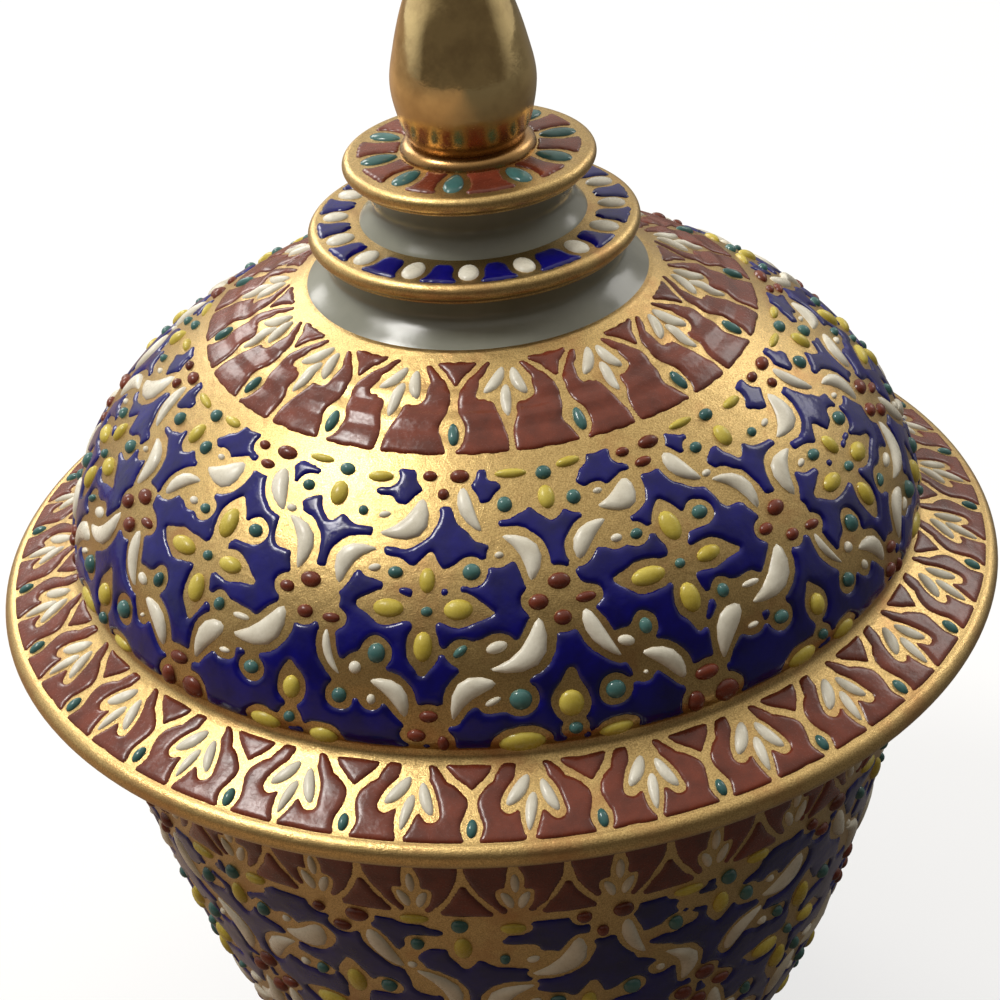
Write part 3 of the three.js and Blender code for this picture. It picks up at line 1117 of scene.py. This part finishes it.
ringTile = {
    "span": 26.0,
    "turquoise": [(0.5, 36.85, 0.67, 1.5)],
    "leaves": [
        (7.0, 42.3, 12.7, 45.9, -0.25, 0.7), (17.3, 41.5, 15.2, 45.7, 0.25, 0.75),
        (12.2, 38.7, 12.9, 43.6, 0.15, 0.7, 0.2),
    ],
    "lines": [
        (0, 34.0, 0, 37.6, 0.25, 1.3), (0, 37.6, 0, 40.4, 1.3, 0.45),
        (0, 40.4, 0, 42.0, 0.45, 0.36), (0, 42.0, -3.4, 45.0, 0.3, 0.28, -0.2),
        (0, 42.0, 3.4, 45.0, 0.3, 0.28, 0.2), (-3.4, 45.0, -7.6, 46.9, 0.28, 0.28),
        (3.4, 45.0, 7.6, 46.9, 0.28, 0.28), (12.2, 39.4, 12.0, 37.0, 1.0, 0.3),
        (12.0, 37.0, 12.0, 34.0, 0.25, 0.4), (12.4, 44.6, 12.4, 47.2, 1.4, 0.9),
        (12.3, 42.0, 12.4, 44.8, 1.6, 1.8), (8.4, 41.7, 16.4, 41.4, 0.45, 0.45),
        (6.2, 42.0, 7.3, 44.0, 0.4, 0.45), (7.3, 44.0, 9.8, 45.6, 0.45, 0.4),
        (9.8, 45.6, 11.8, 46.4, 0.4, 0.5), (18.3, 41.9, 18.3, 43.9, 0.4, 0.45),
        (18.3, 43.9, 16.4, 46.0, 0.45, 0.4),
    ],
}
ringBand = {
    "body": "lid",
    "ground": "maroon",
    "beads": {"turquoise": ("drops", 0.8), "white": ("petals", 0.62)},
    "columns": columnsOf([-59.5, -34.4, -7.9, 17.9, 43.2], 14),
    "low": 34.2,
    "high": 46.9,
    "border": 0.52,
    "spacing": 0.22,
    "edge": 0.8,
    "soften": 0.12,
    "waver": 0.03,
    "least": 0.21,
}


# The maroon brim: the same buds and drops, smaller and more of them

brimTile = {
    "span": 13.2,
    "turquoise": [(0, 1.65, 0.62, 1.15)],
    "leaves": [
        (3.7, 4.4, 6.2, 7.9, -0.15, 0.78), (9.0, 3.2, 7.6, 7.3, 0.15, 0.7),
        (5.9, 1.3, 6.7, 5.7, 0.1, 0.62, 0.3),
    ],
    "lines": [
        (0, 0.1, 0, 1.9, 0.7, 1.08), (0, 1.9, 0, 4.8, 1.08, 0.36), (0, 4.8, 0, 5.3, 0.36, 0.36),
        (0, 5.3, -2.5, 7.6, 0.42, 0.38, -0.15), (-2.5, 7.6, -4.3, 9.9, 0.36, 0.36),
        (0, 5.3, 1.9, 7.6, 0.42, 0.38, 0.15), (1.9, 7.6, 3.1, 9.9, 0.36, 0.36),
        (5.9, 3.0, 5.9, 0.0, 0.7, 0.28), (6.5, 7.9, 6.4, 9.9, 1.6, 1.2),
        (3.9, 4.2, 4.5, 4.8, 0.8, 0.9), (8.9, 3.2, 8.4, 4.2, 0.8, 0.9),
    ],
}
brimBand = {
    "body": "lid",
    "ground": "maroon",
    "beads": {"turquoise": ("drops", 0.72), "white": ("petals", 0.58)},
    "columns": columnsOf([-44.4, -31.4, -18.1, -4.9, 8.3], 28),
    "low": 0.0,
    "high": 9.45,
    "border": 0.44,
    "spacing": 0.26,
    "soften": 0.12,
    "waver": 0.03,
    "least": 0.17,
}


# The tops of the knob's two discs

lowerDiscTile = {
    "span": 22.5,
    "white": [(0, 2.35, 1.25, 1.8)],
    "lines": [(0, 2.4, 0, 4.6, 1.2, 2.1)],
}
upperDiscTile = {
    "span": 36,
    "turquoise": [(0, 3.3, 1.2, 2.35)],
}
lowerDiscBand = {
    "body": "lid",
    "ground": "cobalt",
    "beads": {"white": ("ovals", 0.5)},
    "columns": columnsOf([-50, -26, -3.5, 18.5, 44, 66], 16),
    "low": 0.1,
    "high": 4.2,
    "border": 0.55,
    "spacing": 0.22,
    "waver": 0.03,
}
upperDiscBand = {
    "body": "lid",
    "ground": "maroon",
    "beads": {"turquoise": ("ovals", 0.45)},
    "columns": columnsOf([-43, -10.5, 30.5, 65], 10),
    "low": 0.8,
    "high": 5.9,
    "border": 0.72,
    "spacing": 0.22,
    "waver": 0.03,
}


# The bowl: a lotus frieze under the mouth, the net of flowers, and petals above the foot

friezeTile = {
    "span": 12.857,
    "turquoise": [(0, 73.0, 0.55, 1.5)],
    "leaves": [
        (4.6, 65.9, 5.8, 62.9, 0.15, 0.62), (8.2, 65.9, 7.0, 62.9, -0.15, 0.62),
        (6.4, 69.2, 6.4, 65.8, 0.0, 0.55),
    ],
    "lines": [
        (-4.5, 61.6, 0, 69.2, 0.34, 0.36, -0.6), (4.5, 61.6, 0, 69.2, 0.34, 0.36, 0.6),
        (0, 69.2, 0, 71.2, 0.36, 0.45), (0, 71.2, 0, 73.0, 0.4, 1.1),
        (0, 73.0, 0, 76.0, 1.1, 0.6), (6.4, 62.6, 6.4, 61.4, 1.0, 1.4),
        (6.4, 69.0, 6.4, 71.2, 0.8, 0.3),
    ],
}
petalTile = {
    "span": 18,
    "turquoise": [(0, 4.3, 0.6, 1.3)],
    "leaves": [
        (7.0, 3.6, 8.6, 7.6, -0.2, 0.75), (11.0, 3.6, 9.4, 7.6, 0.2, 0.75),
        (9.0, 1.9, 9.0, 5.4, 0.0, 0.6),
    ],
    "lines": [
        (0, 1.5, 0, 4.2, 0.4, 1.3), (0, 4.2, 0, 6.6, 1.3, 0.45),
        (0, 6.6, -4.6, 11.2, 0.45, 0.4, -0.5), (0, 6.6, 4.6, 11.2, 0.45, 0.4, 0.5),
        (9.0, 3.4, 9.0, 1.3, 0.9, 0.5), (9.0, 8.4, 9.0, 11.0, 1.9, 1.3),
    ],
}
lotusBeads = {"turquoise": ("drops", 0.7), "white": ("petals", 0.58)}
friezeBand = {
    "body": "bowl",
    "ground": "maroon",
    "beads": lotusBeads,
    "columns": columnsOf([-7.6], 28),
    "low": 61.5,
    "high": 77.0,
    "border": 0.48,
    "spacing": 0.28,
    "rise": 0.3,
    "edge": 0.8,
}
bowlBand = {
    "body": "bowl",
    "ground": "cobalt",
    "beads": netBeads,
    "columns": columnsOf([-60.5, -26.5, 8.2, 43.2], 10),
    "stretch": {"from": 31.8, "to": 60.2, "scale": 1.48, "wide": 1.12},
    "low": 13.4,
    "high": 60.2,
    "border": 0.6,
    "spacing": 0.36,
}
petalBand = {
    "body": "bowl",
    "ground": "maroon",
    "beads": lotusBeads,
    "columns": columnsOf([0.0], 20),
    "low": 1.5,
    "high": 11.4,
    "border": 0.65,
    "spacing": 0.32,
    "rise": 0.3,
    "edge": 0.8,
}

dressBand("dome", domeSurface, [netTileB, netTileA], domeBand)
dressBand("ring", domeSurface, [ringTile], ringBand)
dressBand("brim", brimSurface, [brimTile], brimBand)
dressBand("lower_disc", lowerDisc, [lowerDiscTile], lowerDiscBand)
dressBand("upper_disc", upperDisc, [upperDiscTile], upperDiscBand)
dressBand("frieze", wallSurface, [friezeTile], friezeBand)
dressBand("bowl", wallSurface, [netTileA, netTileB], bowlBand)
dressBand("petal", wallSurface, [petalTile], petalBand)
print("enamels laid")


# The stage: floor, lamps, sky and camera

stage = {
    "floorSize": 6.0,
    "floorSink": 0.03,
    "floorRoughness": 0.9,
    # as rays other than the camera's see the floor: painted shade, and a painted pool of warm light
    # towards the left
    "floorShade": (0.042, 0.031, 0.02),
    "floorLitSide": (0.3, 0.19, 0.11),
    "litSideFrom": 90,  # millimetres across, towards the left
    "litSideTo": -150,
    "floorSeen": (0.92, 0.92, 0.92),
    "floorGlow": 0.7,
    "fadeFrom": 250,  # millimetres from the jar, over which the floor pales into the backdrop
    "fadeTo": 1300,
    "floorShine": 0.05,
    "lamps": {
        # turn, rise, width, height, power
        "key_lamp": (-94, 57, 0.34, 0.3, 1.25),
        "spark_lamp": (-91, 60, 0.28, 0.15, 2.7),
        "left_window": (-150, 28, 0.3, 0.3, 1.8),
        "right_window": (128, 32, 0.3, 0.3, 0.95),
    },
    "lampsAway": 0.85,
    "lampsAim": 100,  # millimetres up the jar
    "lampColor": (1, 0.98, 0.94),
    "skyLow": (0.05, 0.035, 0.02),
    "skyHigh": (1.05, 0.99, 0.88),
    "skyUp": (-0.15, 0.42, 0.9),
    "skySpan": (0.12, 1.0),
    "glows": [
        # where a wall of the room is lit, and how much
        ((-0.84, 0.48, 0.26), 0.6),
        ((0.84, 0.48, 0.26), 0.4),
    ],
    "glowSpan": (0.6, 0.95),
    "glowColor": (1.0, 0.98, 0.94),
    "skyShine": 0.05,
}


def lightPathShare(tree, shine):
    # 1 for what the camera sees straight or through glass, a share for what a gloss shows
    path = tree.nodes.new("ShaderNodeLightPath").outputs
    shown = mathOf(tree, "MULTIPLY_ADD", path["Is Glossy Ray"], shine, path["Is Camera Ray"])
    return mathOf(tree, "MAXIMUM", shown, path["Is Transmission Ray"])


def mixShaders(tree, share, shaderA, shaderB):
    mix = tree.nodes.new("ShaderNodeMixShader")
    feed(tree, mix, {0: share, 1: shaderA, 2: shaderB})
    return mix.outputs["Shader"]


def makeFloor():
    # pale paper; the camera sees it nearly white, with the jar's shadow on it; other rays see painted
    # shade, lightening to a painted pool of warm light towards the left
    look = stage
    clearSelection()
    under = (0, 0, -look["floorSink"] * mm)
    bpy.ops.mesh.primitive_plane_add(size=look["floorSize"], location=under)
    floor = bpy.context.object
    floor.name = "floor"
    material, tree, shader, place = newFinish("floor_paper", look["floorShade"], look["floorRoughness"])
    shown = lightPathShare(tree, look["floorShine"])
    # painted light: lighter and warmer towards the left, painted shade to the right
    litSideShare = spread(tree, axisOf(tree, place, "X"), look["litSideFrom"] * mm, look["litSideTo"] * mm)
    paper = blendColors(tree, litSideShare, look["floorShade"], look["floorLitSide"])
    feed(tree, shader, {"Base Color": blendColors(tree, shown, paper, look["floorSeen"])})
    white = tree.nodes.new("ShaderNodeEmission")
    feed(tree, white, {"Strength": 1})
    away = tree.nodes.new("ShaderNodeVectorMath")
    away.operation = "LENGTH"
    feed(tree, away, {0: place})
    fade = spread(tree, away.outputs["Value"], look["fadeFrom"] * mm, look["fadeTo"] * mm,
                  look["floorGlow"], 1)
    glow = mathOf(tree, "MULTIPLY", shown, fade)
    seen = mixShaders(tree, glow, shader.outputs["BSDF"], white.outputs["Emission"])
    feed(tree, tree.nodes["Material Output"], {"Surface": seen})
    floor.data.materials.append(material)


def placeHolder(name, data, right, up, back, place):
    # a lamp or camera, which looks away from its back
    holder = bpy.data.objects.new(name, data)
    bpy.context.scene.collection.objects.link(holder)
    rows = np.column_stack([right, up, back, place]).tolist()
    holder.matrix_world = Matrix([*rows, [0, 0, 0, 1]])
    return holder


def addLamp(name, turn, rise, width, height, power):
    # a flat soft lamp that faces the middle of the jar
    around, over = math.radians(turn), math.radians(rise)
    back = np.array([
        math.sin(around) * math.cos(over), -math.cos(around) * math.cos(over), math.sin(over),
    ])
    lamp = bpy.data.lights.new(name, "AREA")
    lamp.shape = "RECTANGLE"
    lamp.size = width
    lamp.size_y = height
    lamp.energy = power
    lamp.color = stage["lampColor"]
    side = np.cross([0, 0, 1], back)
    side /= np.linalg.norm(side)
    place = np.array([0, 0, stage["lampsAim"] * mm]) + back * stage["lampsAway"]
    placeHolder(name, lamp, side, np.cross(back, side), back, place)


def makeSky():
    # the room: darkest low in front, lighter above, and lit behind to both sides
    look = stage
    world = bpy.data.worlds.new("studio")
    bpy.context.scene.world = world
    world.use_nodes = True
    tree = world.node_tree
    tree.nodes.clear()
    place = tree.nodes.new("ShaderNodeTexCoord").outputs["Generated"]

    def leanTo(direction, span, toHigh=1.0):
        lean = tree.nodes.new("ShaderNodeVectorMath")
        lean.operation = "DOT_PRODUCT"
        feed(tree, lean, {0: place, 1: direction})
        return spread(tree, lean.outputs["Value"], *span, 0, toHigh)

    room = blendColors(tree, leanTo(look["skyUp"], look["skySpan"]), look["skyLow"], look["skyHigh"])
    for direction, share in look["glows"]:
        glow = leanTo(direction, look["glowSpan"], share)
        room = blendColors(tree, glow, room, look["glowColor"])
    light = tree.nodes.new("ShaderNodeBackground")
    feed(tree, light, {"Color": room})
    white = tree.nodes.new("ShaderNodeBackground")
    feed(tree, white, {"Color": (1, 1, 1, 1), "Strength": 1})
    shown = lightPathShare(tree, look["skyShine"])
    seen = mixShaders(tree, shown, light.outputs["Background"], white.outputs["Background"])
    feed(tree, tree.nodes.new("ShaderNodeOutputWorld"), {"Surface": seen})


camera = {
    "place": (0, -238.6, 236.3),
    "yaw": 0.14,
    "pitch": 32.08,
    "roll": -4.32,
    "focal": 2169,  # pixels, in a picture this wide
    "pictureWidth": 1000,
    "sensor": 36,
    "clip": (0.01, 20),
}


def makeCamera():
    look = camera
    yaw, pitch, roll = (math.radians(look[k]) for k in ("yaw", "pitch", "roll"))
    ahead = np.array([
        math.sin(yaw) * math.cos(pitch), math.cos(yaw) * math.cos(pitch), -math.sin(pitch),
    ])
    right = np.cross(ahead, [0, 0, 1])
    right /= np.linalg.norm(right)
    up = np.cross(right, ahead)
    rolledRight = right * math.cos(roll) + up * math.sin(roll)
    rolledUp = up * math.cos(roll) - right * math.sin(roll)
    lens = bpy.data.cameras.new("camera")
    lens.sensor_width = look["sensor"]
    lens.lens = look["focal"] * look["sensor"] / look["pictureWidth"]
    lens.clip_start, lens.clip_end = look["clip"]
    place = np.array(look["place"]) * mm
    holder = placeHolder("camera", lens, rolledRight, rolledUp, -ahead, place)
    bpy.context.scene.camera = holder


makeFloor()
for lampName, lampSetting in stage["lamps"].items():
    addLamp(lampName, *lampSetting)
makeSky()
makeCamera()
bpy.context.scene.view_settings.view_transform = "Standard"
print("stage set")

bpy.context.view_layer.update()
